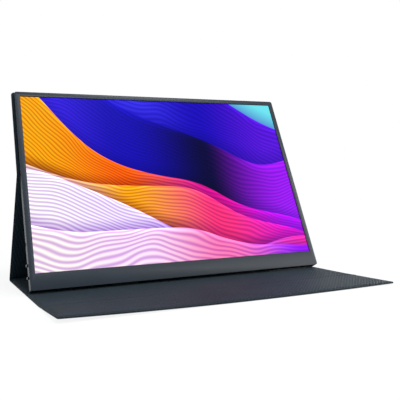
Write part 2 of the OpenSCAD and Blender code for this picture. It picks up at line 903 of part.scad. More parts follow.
module flap_skin() {
    color("#2b2f36") on_flap() difference() {
        union() {
            panel_skin(flap_range[0], flap_range[1], cover_r, [flap_range]);
            web(0, crease_half, -1);
        }
        crease_roll(0, web_t + run_gap);
    }
}

module flap_board() {
    color("burlywood") on_flap() difference() {
        panel_board(flap_range[0], flap_range[1], cover_r);
        magnet_slots(flap_magnet_x, flap_magnet_y, pocket_gap);
    }
}

module flap_lining() {
    color("#3f464e") on_flap() panel_lining(flap_range[0], flap_range[1], cover_r);
}

module flap_magnets() {
    color("silver") on_flap() magnets(flap_magnet_x, flap_magnet_y);
}

rear_shell();
front_bezel();
bezel_tape();
lcd_cell();
optical_films();
light_guide();
reflector_sheet();
led_bar();
mould_frame();
panel_back_plate();
tcon_board();
panel_cable();
main_board();
scaler_chip();
shield_can();
usb_c_socket_lower();
usb_c_socket_upper();
mini_hdmi_socket();
socket_tongues();
audio_jack();
key_board();
key_switches();
key_cable();
power_button();
menu_button();
speaker_left();
speaker_right();
speaker_mesh();
speaker_leads();
case_screws();
board_screws();
rubber_feet();
holding_plate();
upper_skin();
upper_board();
upper_lining();
upper_magnets();
strut_skin();
strut_board();
strut_lining();
base_skin();
base_lining();
spine_board();
rear_board();
seat_board();
flap_skin();
flap_board();
flap_lining();
flap_magnets();
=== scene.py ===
# %% [markdown]
# # A portable monitor in its folding cover
# The object is a thin 16-inch monitor that stands in a cover of imitation leather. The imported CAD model
# gives every size and every joint, so this lesson only gives it its looks. Sizes are in millimetres and are
# turned into Blender's metres by MM, because a maker thinks of a bezel in millimetres.

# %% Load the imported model
import json
import math
import bpy
from mathutils import Matrix, Vector

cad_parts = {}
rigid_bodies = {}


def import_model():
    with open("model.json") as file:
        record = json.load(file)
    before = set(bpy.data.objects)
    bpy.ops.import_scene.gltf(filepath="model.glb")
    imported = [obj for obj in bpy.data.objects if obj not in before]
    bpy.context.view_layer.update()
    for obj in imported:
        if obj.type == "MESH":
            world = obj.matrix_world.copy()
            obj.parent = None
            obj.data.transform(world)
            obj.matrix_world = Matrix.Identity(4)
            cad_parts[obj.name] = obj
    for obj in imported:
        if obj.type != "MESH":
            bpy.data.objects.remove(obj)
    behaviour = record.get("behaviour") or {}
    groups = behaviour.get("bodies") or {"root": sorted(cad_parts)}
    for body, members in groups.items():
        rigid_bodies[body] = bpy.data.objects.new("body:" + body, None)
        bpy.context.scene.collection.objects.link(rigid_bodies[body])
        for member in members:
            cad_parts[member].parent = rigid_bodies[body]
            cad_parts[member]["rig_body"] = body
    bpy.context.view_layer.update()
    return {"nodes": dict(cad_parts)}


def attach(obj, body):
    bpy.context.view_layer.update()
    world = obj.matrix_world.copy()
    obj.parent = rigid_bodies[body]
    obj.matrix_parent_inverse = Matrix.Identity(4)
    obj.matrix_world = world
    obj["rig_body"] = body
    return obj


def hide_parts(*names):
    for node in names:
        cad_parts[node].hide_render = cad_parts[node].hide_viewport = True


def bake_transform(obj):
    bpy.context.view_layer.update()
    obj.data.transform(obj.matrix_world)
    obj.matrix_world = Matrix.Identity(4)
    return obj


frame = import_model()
MM = 0.001
nodes = frame["nodes"]

# %% [markdown]
# ## The camera
# The picture was taken from the left and from low over the table, close enough for the lines to run
# together. The camera's place, its three angles and its lens were fitted to the corners of the monitor and
# the cover. A camera looks along its own -Z, so its axes are worked out from the angles and set as a
# matrix. The shift moves the frame without turning the camera, because the object sits above the middle of
# the picture.

# %% Camera
CAMERA_AT = Vector((-298.1, -647.3, 118.0)) * MM
YAW, PITCH, ROLL = (math.radians(angle) for angle in (25.298, -3.229, -1.142))
ahead = Vector((math.sin(YAW) * math.cos(PITCH), math.cos(YAW) * math.cos(PITCH), -math.sin(PITCH)))
level = Vector((math.cos(YAW), -math.sin(YAW), 0))
above = level.cross(ahead)
right = math.cos(ROLL) * level + math.sin(ROLL) * above
up = math.cos(ROLL) * above - math.sin(ROLL) * level
lens = bpy.data.cameras.new("Camera")
lens.sensor_width, lens.lens = 36, 55.87
lens.shift_x, lens.shift_y = 0.0118, -0.1414
lens.clip_start, lens.clip_end = 0.02, 50
camera = bpy.data.objects.new("Camera", lens)
bpy.context.scene.collection.objects.link(camera)
axes = Matrix((right, up, -ahead)).transposed()
camera.matrix_world = Matrix.Translation(CAMERA_AT) @ axes.to_4x4()
bpy.context.scene.camera = camera
print("camera at", [round(c, 3) for c in CAMERA_AT], "lens", lens.lens, "mm")

# %% [markdown]
# ## Colours and nodes
# A colour is chosen on a screen, so it is written as an sRGB hex value, but Blender mixes light in
# linear values. One function turns the first into the second. A second one adds a shader node, sets what is
# on it and joins its inputs, which keeps each finish below as short as its recipe.

# %% Helpers for finishes
def linear(hex_colour, factor=1.0):
    """An sRGB hex colour as linear RGBA, made lighter or darker by a factor."""
    parts = [int(hex_colour[i:i + 2], 16) / 255 for i in (1, 3, 5)]
    bent = [p / 12.92 if p <= 0.04045 else ((p + 0.055) / 1.055) ** 2.4 for p in parts]
    return (*[min(b * factor, 1.0) for b in bent], 1.0)


def add(tree, kind, values=None, links=None):
    """Adds one shader node, sets its inputs and properties, and joins its inputs to other nodes' outputs."""
    made = tree.nodes.new("ShaderNode" + kind)
    for name, value in (values or {}).items():
        if isinstance(name, int) or name in made.inputs:
            made.inputs[name].default_value = value
        else:
            setattr(made, name, value)
    for name, source in (links or {}).items():
        tree.links.new(made.inputs[name], source)
    return made


def empty_material(name):
    """A material with nothing in it but its output."""
    material = bpy.data.materials.new(name)
    material.use_nodes = True
    material.node_tree.nodes.clear()
    return material, material.node_tree, material.node_tree.nodes.new("ShaderNodeOutputMaterial")


print("slate as linear:", [round(c, 3) for c in linear("#3b434b")])

# %% [markdown]
# ## The white surroundings
# The photograph has a pure white ground. White paper lit until it clips would throw far too much light on
# the object, so the world and the floor are white only to the camera and in reflections, by Light Path, and
# give a plain grey light otherwise. The floor keeps a tenth of its real, lit surface near the object, so
# that a soft shadow stays under the cover, and it turns fully white further off.

# %% World
def seen_rays(tree):
    """1 for a ray that the camera, a reflection or glass sees by, and 0 for one that only carries light."""
    ray = add(tree, "LightPath").outputs
    either = add(tree, "Math", {"operation": "MAXIMUM"}, {0: ray["Is Camera Ray"], 1: ray["Is Glossy Ray"]})
    seen = add(tree, "Math", {"operation": "MAXIMUM"}, {0: either.outputs[0], 1: ray["Is Transmission Ray"]})
    return seen.outputs[0]


WHITE = (1, 1, 1, 1)
SOFT_LIGHT = 0.3  # how strongly the world lights the object
world = bpy.data.worlds.new("white_studio")
bpy.context.scene.world = world
world.use_nodes = True
sky = world.node_tree
sky.nodes.clear()
soft_grey = add(sky, "Background", {"Color": linear("#f2f5ff"), "Strength": SOFT_LIGHT})
white = add(sky, "Background", {"Color": WHITE, "Strength": 1.0})
mixed = add(sky, "MixShader", None, {0: seen_rays(sky), 1: soft_grey.outputs[0], 2: white.outputs[0]})
add(sky, "OutputWorld", None, {"Surface": mixed.outputs[0]})
bpy.context.scene.view_settings.view_transform = "Standard"
print("world lights at", SOFT_LIGHT)

# %% Floor
NEAR, FAR = 0.25, 0.75  # distances from the object's middle, in m
NEAR_WHITE, FAR_WHITE = 0.88, 1.0  # how much of the floor is plain white there
bpy.ops.object.select_all(action="DESELECT")
bpy.ops.mesh.primitive_plane_add(size=30)
floor = bpy.context.object
floor.name = "floor"
paper, tree, out = empty_material("matt_white_paper")
seen = seen_rays(tree)
place = add(tree, "TexCoord")
far = add(tree, "VectorMath", {"operation": "LENGTH"}, {0: place.outputs["Object"]})
glow = add(tree, "MapRange", {"From Min": NEAR, "From Max": FAR, "To Min": NEAR_WHITE, "To Max": FAR_WHITE},
           {"Value": far.outputs["Value"]})
share = add(tree, "Math", {"operation": "MULTIPLY"}, {0: seen, 1: glow.outputs[0]})
fibres = add(tree, "TexNoise", {"Scale": 1 / (2 * MM), "Detail": 3.0}, {"Vector": place.outputs["Object"]})
relief = add(tree, "Bump", {"Distance": 0.05 * MM, "Strength": 0.3}, {"Height": fibres.outputs["Fac"]})
shown = add(tree, "Mix", {"data_type": "RGBA", 6: linear("#c4c6c8"), 7: WHITE}, {0: seen})
lit = add(tree, "BsdfDiffuse", None, {"Color": shown.outputs[2], "Normal": relief.outputs[0]})
white = add(tree, "Emission", {"Color": WHITE, "Strength": 1.0})
mixed = add(tree, "MixShader", None, {0: share.outputs[0], 1: lit.outputs[0], 2: white.outputs[0]})
tree.links.new(out.inputs["Surface"], mixed.outputs[0])
floor.data.materials.append(paper)
print("floor is", floor.dimensions.x, "m wide")

# %% [markdown]
# ## Studio light
# The photograph's light is soft and comes mostly from the right: the chin under the picture grows lighter
# to the right, and so does the end of the cover, which also catches light from behind at a low angle. Large
# area lamps give such light. Their power is set so that a colour renders about as it is written.

# %% Lamps
AIM = Vector((0, 0, 80)) * MM
LAMPS = {
    # name: (place in m, size in m, power in W, colour)
    "softbox_front": ((0.3, -0.87, 2.04), 0.8, 22, (0.94, 0.98, 1.0)),
    "softbox_right": ((1.8, -1.3, 0.95), 1.4, 46, (1.0, 0.99, 0.96)),
    "softbox_left": ((-1.3, -1.3, 1.4), 1.2, 8, (0.85, 0.93, 1.0)),
    "softbox_above": ((0.1, 0.3, 2.0), 1.4, 8, (0.92, 0.96, 1.0)),
    "rim_right": ((1.5, 0.9, 0.4), 0.5, 4.5, (1.0, 1.0, 1.0)),
}
for name, (at, size, watts, colour) in LAMPS.items():
    lamp = bpy.data.lights.new(name, "AREA")
    lamp.shape, lamp.size, lamp.energy, lamp.color = "SQUARE", size, watts, colour
    light = bpy.data.objects.new(name, lamp)
    bpy.context.scene.collection.objects.link(light)
    light.location = at
    light.rotation_euler = (AIM - light.location).to_track_quat("-Z", "Y").to_euler()
print("lamps:", ", ".join(LAMPS))

# %% [markdown]
# ## Finishes with one fine pattern
# Most parts of a monitor have a plain finish whose interest is in its grain: moulded plastic has the fine
# roughness of its mould, blasted metal sparkles a little, and a circuit board shows a weave. One recipe
# serves them: a noise in the size of the real grain changes the colour a little, the gloss a little, and
# lifts the surface by a few hundredths of a millimetre. Object coordinates keep the grain fixed to the part
# as it moves.

# %% A grained finish
def grained(name, colour, grain, relief, gloss, metallic=0.0, specular=0.5, tone=0.08, stretch=(1, 1, 1),
            **fixed):
    """A finish whose colour, gloss and relief follow one grain. Grain and relief are in mm, gloss a pair."""
    CLOUDS = 35  # mm, width of the broad patches in which a finish varies
    material, tree, out = empty_material(name)
    place = add(tree, "TexCoord")
    turned = add(tree, "Mapping", {"Scale": stretch}, {"Vector": place.outputs["Object"]})
    fine = add(tree, "TexNoise", {"Scale": 1 / (grain * MM), "Detail": 3.0, "Roughness": 0.6},
               {"Vector": turned.outputs[0]})
    broad = add(tree, "TexNoise", {"Scale": 1 / (CLOUDS * MM), "Detail": 2.0},
                {"Vector": place.outputs["Object"]})
    both = add(tree, "Math", {"operation": "MULTIPLY_ADD", 1: 0.6},
               {0: fine.outputs["Fac"], 2: broad.outputs["Fac"]})
    shade = add(tree, "MapRange", {"From Min": 0.45, "From Max": 1.15}, {"Value": both.outputs[0]})
    tint = add(tree, "Mix", {"data_type": "RGBA", 6: linear(colour, 1 - tone), 7: linear(colour, 1 + tone)},
               {0: shade.outputs[0]})
    polish = add(tree, "MapRange", {"To Min": gloss[0], "To Max": gloss[1]}, {"Value": shade.outputs[0]})
    bump = add(tree, "Bump", {"Distance": relief * MM, "Strength": 1.0}, {"Height": fine.outputs["Fac"]})
    surface = add(tree, "BsdfPrincipled", {"Metallic": metallic, "Specular IOR Level": specular, **fixed},
                  {"Base Color": tint.outputs[2], "Roughness": polish.outputs[0], "Normal": bump.outputs[0]})
    tree.links.new(out.inputs["Surface"], surface.outputs[0])
    return material


# %% [markdown]
# ## Finishes of the hard parts
# Each colour slot of the CAD model is one real finish. What shows most is the rear case, which is
# aluminium, blasted and anodised to a dark grey satin, and the keys in its side. The others lie inside the
# case and get their true materials too: soldered board, copper on film, rolled steel, moulded black
# plastic.

# %% Hard finishes
HARD = {
    # blasted and anodised aluminium: a satin metal with a very fine sparkle
    "shell": grained("anodised_aluminium", "#4a4e54", 0.5, 0.006, (0.2, 0.3), 0.9, tone=0.05,
                     **{"Specular Tint": (0.55, 0.55, 0.55, 1)}),
    "key": grained("polished_black_polycarbonate", "#1c1d20", 0.4, 0.004, (0.12, 0.2), specular=0.6,
                   tone=0.05),
    # acrylic foam tape: dull, porous and black
    "adhesive": grained("acrylic_foam_tape", "#131315", 0.3, 0.03, (0.75, 0.9), specular=0.2),
    "films": grained("diffuser_film_pet", "#e9ecef", 0.4, 0.004, (0.3, 0.45)),
    "acrylic": grained("acrylic_light_guide", "#eef2f4", 3.0, 0.002, (0.05, 0.12), IOR=1.49),
    "reflector": grained("white_foamed_pet", "#f4f5f4", 0.5, 0.01, (0.6, 0.8)),
    "led_strip": grained("led_strip", "#e8e2b8", 1.6, 0.02, (0.35, 0.6), tone=0.2),
    "mould": grained("white_polycarbonate", "#dfe1e2", 0.4, 0.01, (0.4, 0.55)),
    # galvanised steel: the zinc's large grains show as patches
    "tray": grained("galvanised_steel", "#9da2a8", 6.0, 0.004, (0.3, 0.5), 1.0, tone=0.14),
    "steel_plate": grained("rolled_steel", "#8d9196", 0.6, 0.008, (0.35, 0.5), 1.0, stretch=(0.08, 1, 1)),
    # glass-fibre board under green solder mask, drawn with a grain as wide as its tracks
    "board": grained("green_solder_mask", "#1d4a38", 1.2, 0.03, (0.25, 0.45), tone=0.25),
    "flex": grained("polyimide_film", "#b07c2c", 0.5, 0.004, (0.25, 0.4), tone=0.15, stretch=(1, 0.05, 1)),
    "white_flex": grained("white_flat_cable", "#e6e6e2", 0.5, 0.01, (0.35, 0.5), stretch=(0.05, 1, 1)),
    "chip": grained("epoxy_chip_package", "#1b1c1f", 0.2, 0.01, (0.55, 0.7)),
    "socket": grained("nickel_plated_steel", "#b9bcc0", 0.5, 0.004, (0.18, 0.3), 1.0, tone=0.05),
    "jack": grained("glass_filled_nylon", "#17181a", 0.3, 0.012, (0.5, 0.65), specular=0.4),
    "switch": grained("moulded_switch_body", "#2a2b2e", 0.3, 0.01, (0.45, 0.6)),
    "speaker": grained("moulded_speaker_box", "#1f2023", 0.4, 0.015, (0.45, 0.6)),
    "lead": grained("pvc_wire_sleeve", "#a8271f", 0.8, 0.01, (0.35, 0.5)),
    "screw_black": grained("blacked_steel", "#24262a", 0.3, 0.006, (0.35, 0.5), 0.8),
    "screw": grained("zinc_plated_steel", "#b3b6ba", 0.3, 0.006, (0.25, 0.4), 1.0),
    "rubber": grained("silicone_rubber", "#17181a", 0.5, 0.02, (0.7, 0.85), specular=0.3),
    "magnet": grained("nickel_plated_magnet", "#a5a8ac", 0.6, 0.004, (0.2, 0.35), 1.0),
    # grey board inside the cover: pressed paper fibre
    "cover_board": grained("pressed_grey_board", "#a9967c", 0.7, 0.03, (0.8, 0.95), tone=0.12),
}
print("hard finishes:", len(HARD))

# %% [markdown]
# ## The bezel's plastic
# The frame round the picture is moulded ABS with a very fine eroded texture: dark slate, matt, but with a
# broad soft shine that follows the lamps. The mould's texture is about a third of a millimetre wide.

# %% Bezel finish
abs_slate = grained("eroded_abs_plastic", "#19232d", 0.35, 0.01, (0.33, 0.4), specular=0.22, tone=0.06)

# %% [markdown]
# ## Imitation leather
# The outside of the cover is polyurethane on a knitted back, rolled while warm to print a pebble grain of
# about a millimetre. Cells from a Voronoi texture are the pebbles. Their rims are low and painted a little
# darker, a painted shade in the hollows between the pebbles, and the pebbles are shinier where hands have
# rubbed them, so colour, gloss and relief all follow the same cells.

# %% Leather finish
def imitation_leather():
    """Pebbled polyurethane, near black with a blue cast."""
    PEBBLE, WANDER, WEAR = 1.3, 4, 60  # mm: a pebble, the bend of the pebbles' rows, a worn patch
    material, tree, out = empty_material("pebbled_polyurethane")
    place = add(tree, "TexCoord")
    warp = add(tree, "TexNoise", {"Scale": 1 / (WANDER * MM), "Detail": 2.0},
               {"Vector": place.outputs["Object"]})
    bent = add(tree, "VectorMath", {"operation": "MULTIPLY_ADD", 1: (0.6 * MM,) * 3},
               {0: warp.outputs["Color"], 2: place.outputs["Object"]})
    cells = add(tree, "TexVoronoi", {"Scale": 1 / (PEBBLE * MM), "Randomness": 0.9},
                {"Vector": bent.outputs[0]})
    dome = add(tree, "MapRange", {"From Min": 0.15, "From Max": 0.75, "To Min": 1.0, "To Max": 0.0,
                                  "interpolation_type": "SMOOTHSTEP"}, {"Value": cells.outputs["Distance"]})
    worn = add(tree, "TexNoise", {"Scale": 1 / (WEAR * MM), "Detail": 4.0},
               {"Vector": place.outputs["Object"]})
    # painted shade: the pebbles' low rims are darker, mixed with random worn patches
    hollow_shade_and_wear = add(tree, "Math", {"operation": "MULTIPLY_ADD", 1: 0.35},
                 {0: dome.outputs[0], 2: worn.outputs["Fac"]})
    shade = add(tree, "MapRange", {"From Min": 0.3, "From Max": 0.95}, {"Value": hollow_shade_and_wear.outputs[0]})
    tint = add(tree, "Mix", {"data_type": "RGBA", 6: linear("#12151a"), 7: linear("#23282f")},
               {0: shade.outputs[0]})
    polish = add(tree, "MapRange", {"To Min": 0.62, "To Max": 0.45}, {"Value": shade.outputs[0]})
    bump = add(tree, "Bump", {"Distance": 0.09 * MM, "Strength": 1.0}, {"Height": dome.outputs[0]})
    surface = add(tree, "BsdfPrincipled", {"Specular IOR Level": 0.35},
                  {"Base Color": tint.outputs[2], "Roughness": polish.outputs[0], "Normal": bump.outputs[0]})
    tree.links.new(out.inputs["Surface"], surface.outputs[0])
    return material


leather = imitation_leather()
print("outside:", leather.name)

# %% [markdown]
# ## The lining
# The inside of the cover is a smooth, dense cloth with a fine diagonal rib, crossed by a finer one. Its
# ribs are well under a millimetre apart, and the photograph shows them only at the right, where the light
# comes in low and draws them as faint stripes. Ribs so fine would vanish here, so the main ones are drawn 3
# mm apart and the cross ones 1.1 mm. They are relief much more than colour, so that they show only where
# the light is low.

# %% Lining finish
def cross_grained_lining():
    """Slate cloth with two sets of fine ribs."""
    MAIN_RIB, CROSS_RIB, FUZZ, CLOUDS = 3.0, 1.1, 0.5, 80  # mm
    RIB_TURN = math.radians(40)
    material, tree, out = empty_material("cross_grained_microfibre")
    place = add(tree, "TexCoord")
    turned = add(tree, "Mapping", {"Rotation": (0, 0, RIB_TURN)}, {"Vector": place.outputs["Object"]})
    axes = add(tree, "SeparateXYZ", None, {0: turned.outputs[0]})
    ribs = []
    for axis, width in (("X", MAIN_RIB), ("Y", CROSS_RIB)):
        turns = add(tree, "Math", {"operation": "MULTIPLY", 1: 2 * math.pi / (width * MM)},
                    {0: axes.outputs[axis]})
        ribs.append(add(tree, "Math", {"operation": "SINE"}, {0: turns.outputs[0]}).outputs[0])
    crossed = add(tree, "Math", {"operation": "MULTIPLY_ADD", 1: 0.35}, {0: ribs[1], 2: ribs[0]})
    fuzz = add(tree, "TexNoise", {"Scale": 1 / (FUZZ * MM), "Detail": 3.0},
               {"Vector": place.outputs["Object"]})
    broad = add(tree, "TexNoise", {"Scale": 1 / (CLOUDS * MM), "Detail": 3.0},
                {"Vector": place.outputs["Object"]})
    height = add(tree, "Math", {"operation": "MULTIPLY_ADD", 1: 0.5},
                 {0: fuzz.outputs["Fac"], 2: crossed.outputs[0]})
    tone = add(tree, "Math", {"operation": "MULTIPLY_ADD", 1: 0.06},
               {0: crossed.outputs[0], 2: broad.outputs["Fac"]})
    shade = add(tree, "MapRange", {"From Min": 0.2, "From Max": 0.8}, {"Value": tone.outputs[0]})
    tint = add(tree, "Mix", {"data_type": "RGBA", 6: linear("#19242b"), 7: linear("#222e34")},
               {0: shade.outputs[0]})
    polish = add(tree, "MapRange", {"To Min": 0.62, "To Max": 0.5}, {"Value": shade.outputs[0]})
    bump = add(tree, "Bump", {"Distance": 0.12 * MM, "Strength": 1.0}, {"Height": height.outputs[0]})
    surface = add(tree, "BsdfPrincipled",
                  {"Specular IOR Level": 0.04, "Sheen Weight": 0.02, "Sheen Roughness": 0.5},
                  {"Base Color": tint.outputs[2], "Roughness": polish.outputs[0], "Normal": bump.outputs[0]})
    tree.links.new(out.inputs["Surface"], surface.outputs[0])
    return material


lining = cross_grained_lining()
print("inside:", lining.name)

# %% [markdown]
# ## The picture on the screen
# The screen is glass over a lit picture. A picture of its own is drawn here from plain mathematics: soft
# ribbons that lie over each other, with fine lines along them, in teal, blue, violet, magenta, orange and
# cream. Object coordinates are turned back by the screen's tilt and scaled by its height, so that u runs
# from 0 to 1.6 along the picture and v from 0 to 1 up it. Each ribbon is all that lies below a wavy line.
# Its distance from that line gives the ribs and the shadow that it throws on the ribbon behind it.

# %% Picture coordinates
TILT = math.radians(24.3)
FOOT = (5.89147, 6.47507)  # y and z of the monitor's lower front edge, in mm
PICTURE = (344.7, 215.4)  # width and height of the picture, in mm
PICTURE_FOOT = 18.4  # the picture's lower edge above the monitor's, in mm
glass, tree, out = empty_material("display_glass")
place = add(tree, "TexCoord")
foot_up = FOOT[0] * math.sin(TILT) + FOOT[1] * math.cos(TILT) + PICTURE_FOOT
flat = add(tree, "Mapping", {"Rotation": (TILT, 0, 0), "Scale": (1 / (PICTURE[1] * MM),) * 3,
                             "Location": (PICTURE[0] / 2 / PICTURE[1], 0, -foot_up / PICTURE[1])},
           {"Vector": place.outputs["Object"]})
drift = add(tree, "TexNoise", {"Scale": 1.3, "Detail": 0.0}, {"Vector": flat.outputs[0]})
axes = add(tree, "SeparateXYZ", None, {0: flat.outputs[0]})
u, straight_v = axes.outputs["X"], axes.outputs["Z"]
wander = add(tree, "Math", {"operation": "MULTIPLY_ADD", 1: 0.34, 2: -0.17}, {0: drift.outputs["Fac"]})
v = add(tree, "Math", {"operation": "ADD"}, {0: wander.outputs[0], 1: straight_v}).outputs[0]
print("picture's foot is", round(foot_up, 2), "mm up the tilted screen")

# %% Ribbons
FULL_TURN = 2 * math.pi
WAVE_SPAN = 1.6  # the length, in u, over which a ribbon's waves are counted
SHADE, RIM = 0.08, 0.035  # how far a ribbon's shade and its bright rim reach, in v
RIBBONS = [
    # rise at the left, slope, wave height, waves, phase, lines per height, colours from left to right
    (1.34, -0.30, 0.05, 0.7, 0.0, 44, ("#45e0e6", "#3a35f2", "#1a06b8", "#5a12d8")),
    (1.04, -0.22, 0.13, 0.8, 0.9, 52, ("#3a20e8", "#1408b0", "#04033c", "#a014f0")),
    (0.98, -0.52, 0.10, 0.9, 2.6, 44, ("#ffb000", "#ff6400", "#e80a8c", "#b400f0")),
    (0.72, -0.40, 0.11, 0.7, 4.4, 40, ("#fff0b0", "#ffae10", "#ff3478", "#dc00c8")),
    (0.50, -0.30, 0.09, 1.0, 1.4, 38, ("#fffdf6", "#f3eaff", "#bc84ff", "#ff30b0")),
    (0.24, -0.10, 0.06, 1.1, 3.4, 36, ("#fff4ec", "#ffe2f4", "#ff7cb4", "#9406f0")),
]
along = add(tree, "Math", {"operation": "DIVIDE", 1: PICTURE[0] / PICTURE[1]}, {0: u}).outputs[0]
eddy = add(tree, "TexNoise", {"Scale": 2.6, "Detail": 1.0}, {"Vector": flat.outputs[0]}).outputs["Fac"]
picture = add(tree, "RGB").outputs[0]
picture.default_value = linear("#6fe6f2")
for rise, slope, swing, waves, phase, lines, colours in RIBBONS:
    turn = add(tree, "Math", {"operation": "MULTIPLY_ADD", 1: FULL_TURN * waves / WAVE_SPAN, 2: phase},
               {0: u})
    wave = add(tree, "Math", {"operation": "SINE"}, {0: turn.outputs[0]})
    lift = add(tree, "Math", {"operation": "MULTIPLY_ADD", 1: swing, 2: rise}, {0: wave.outputs[0]})
    edge = add(tree, "Math", {"operation": "MULTIPLY_ADD", 1: slope}, {0: u, 2: lift.outputs[0]})
    depth = add(tree, "Math", {"operation": "SUBTRACT"}, {0: edge.outputs[0], 1: v}).outputs[0]
    over = add(tree, "MapRange", {"From Min": -0.002, "From Max": 0.002}, {"Value": depth}).outputs[0]
    # the ribbon behind is darker just above this one's edge
    behind = add(tree, "MapRange", {"From Min": -SHADE, "From Max": 0.0, "To Min": 0.0, "To Max": 0.8},
                 {"Value": depth})
    shaded = add(tree, "Mix", {"data_type": "RGBA", "blend_type": "MULTIPLY", 7: linear("#b48cd8")},
                 {0: behind.outputs[0], 6: picture})
    # ribs that an eddy bunches and spreads, with lilac shade between them and light on their backs
    swirl = add(tree, "Math", {"operation": "MULTIPLY_ADD", 1: 44.0}, {0: eddy, 2: turn.outputs[0]})
    count = add(tree, "Math", {"operation": "MULTIPLY_ADD", 1: FULL_TURN * lines},
                {0: depth, 2: swirl.outputs[0]})
    line = add(tree, "Math", {"operation": "SINE"}, {0: count.outputs[0]})
    back = add(tree, "MapRange", {"From Min": -1.0, "From Max": 1.0}, {"Value": line.outputs[0]})
    ribbed = add(tree, "Mix", {"data_type": "RGBA", 6: linear("#d6bcf2"), 7: (1.15, 1.15, 1.15, 1)},
                 {0: back.outputs[0]})
    # the ribbon's own colours, left to right
    ramp = add(tree, "ValToRGB", None, {0: along})
    ramp.color_ramp.interpolation = "EASE"
    stops = ramp.color_ramp.elements
    stops[0].position, stops[0].color = 0.02, linear(colours[0])
    stops[1].position, stops[1].color = 0.98, linear(colours[-1])
    for i, colour in enumerate(colours[1:-1]):
        stops.new(0.34 + 0.32 * i).color = linear(colour)
    own = add(tree, "Mix", {"data_type": "RGBA", "blend_type": "MULTIPLY", 0: 1.0},
              {6: ramp.outputs["Color"], 7: ribbed.outputs[2]})
    rim = add(tree, "MapRange", {"From Min": 0.0, "From Max": RIM, "To Min": 1.5, "To Max": 1.0},
              {"Value": depth})
    lit_rib = add(tree, "Mix", {"data_type": "RGBA", "blend_type": "MULTIPLY", 0: 1.0},
                  {6: own.outputs[2], 7: rim.outputs[0]})
    picture = add(tree, "Mix", {"data_type": "RGBA"},
                  {0: over, 6: shaded.outputs[2], 7: lit_rib.outputs[2]}).outputs[2]
print("ribbons:", len(RIBBONS), "nodes in the screen:", len(tree.nodes))

# %% [markdown]
# ## The glass
# The picture ends 2 mm inside the glass, where a black printed line goes round it. Outside it the colour is
# multiplied by zero. The glass has an etched, anti-glare face, so it shows only a broad, weak reflection.

# %% Screen surface
tests = [add(tree, "Math", {"operation": kind, 1: limit}, {0: value}).outputs[0]
         for value, high in ((u, PICTURE[0] / PICTURE[1]), (straight_v, 1.0))
         for limit, kind in ((0.0, "GREATER_THAN"), (high, "LESS_THAN"))]
inside = tests[0]
for test in tests[1:]:
    inside = add(tree, "Math", {"operation": "MULTIPLY"}, {0: inside, 1: test}).outputs[0]
framed = add(tree, "Mix", {"data_type": "RGBA", "blend_type": "MULTIPLY", 0: 1.0}, {6: picture, 7: inside})
etch = add(tree, "TexNoise", {"Scale": 1 / (0.3 * MM), "Detail": 2.0}, {"Vector": place.outputs["Object"]})
haze = add(tree, "MapRange", {"To Min": 0.28, "To Max": 0.36}, {"Value": etch.outputs["Fac"]})
surface = add(tree, "BsdfPrincipled", {"Base Color": linear("#040405"), "Specular IOR Level": 0.015,
                                       "Emission Strength": 1.0},
              {"Emission Color": framed.outputs[2], "Roughness": haze.outputs[0]})
tree.links.new(out.inputs["Surface"], surface.outputs[0])
print("nodes in the finished screen:", len(tree.nodes))

# %% [markdown]
# ## Finishes on the CAD nodes
# The CAD nodes keep their shape. Each one's material carries the name of its colour slot, so the finish is
# found by that name and put in its place.

# %% Give the CAD nodes their finishes
HARD.update({"display": glass, "bezel": abs_slate, "cover_skin": leather, "lining": lining})
# punched steel: the speakers' mesh, whose holes are drawn as dark grain 1 mm wide
HARD["mesh"] = grained("punched_steel_mesh", "#c6c9cc", 1.0, 0.08, (0.25, 0.4), 1.0, tone=0.3)
for node in nodes.values():
    slot_name = node.data.materials[0].name.split(".")[0]
    node.material_slots[0].material = HARD[slot_name]
print("finished nodes:", len(nodes))

# %% [markdown]
# ## Selecting by hand, in code
# An operator acts on all that is selected, and the CAD nodes are selected after loading. So everything is
# deselected before a primitive is added, and a modifier is applied with only its own object active.

# %% Helpers for modelling
def only(piece):
    """Selects this piece alone and makes it active."""
    bpy.ops.object.select_all(action="DESELECT")
    piece.select_set(True)
    bpy.context.view_layer.objects.active = piece


def apply(piece, kind, **settings):
    """Adds a modifier with these settings and applies it."""
    only(piece)
    modifier = piece.modifiers.new(kind.lower(), kind)
    for name, value in settings.items():
        setattr(modifier, name, value)
    bpy.ops.object.modifier_apply(modifier=modifier.name)


def merged_copy(node, name, join_flat=False):
    """A copy of a CAD node, its loose triangles joined where they meet, and into flat faces if wanted."""
    piece = bpy.data.objects.new(name, nodes[node].data.copy())
    bpy.context.scene.collection.objects.link(piece)
    only(piece)
    bpy.ops.object.mode_set(mode="EDIT")
    bpy.ops.mesh.select_all(action="SELECT")
    bpy.ops.mesh.remove_doubles(threshold=0.002 * MM)
    if join_flat:
        bpy.ops.mesh.dissolve_limited(angle_limit=math.radians(0.5))
    bpy.ops.object.mode_set(mode="OBJECT")
    return piece


def smooth(t):
    """0 below 0, 1 above 1, and an even curve between."""
    t = min(max(t, 0.0), 1.0)
    return t * t * (3 - 2 * t)


print("round edge:", [round(smooth(step / 4), 2) for step in range(5)])


# %% [markdown]
# ## The bezel
# The frame round the picture is one thin moulding with a deep chin, a step behind it for the glass, and
# posts for the screws. The CAD node has all of it but with knife-sharp edges. A mould can't leave those,
# and it is the eased edge that catches the light round a real screen. So a copy is merged, its flat faces
# are joined and its edges are bevelled by a third of a millimetre.

# %% Bezel
EASE = 0.3  # mm, how wide the rounding of an edge is
bezel = merged_copy("front_bezel", "bezel_moulding", join_flat=True)
apply(bezel, "BEVEL", width=EASE * MM, segments=2, limit_method="ANGLE", angle_limit=math.radians(50))
only(bezel)
bpy.ops.object.shade_smooth_by_angle(angle=math.radians(32))
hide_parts("front_bezel")
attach(bezel, nodes["front_bezel"]["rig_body"])
print("bezel faces:", len(bezel.data.polygons))

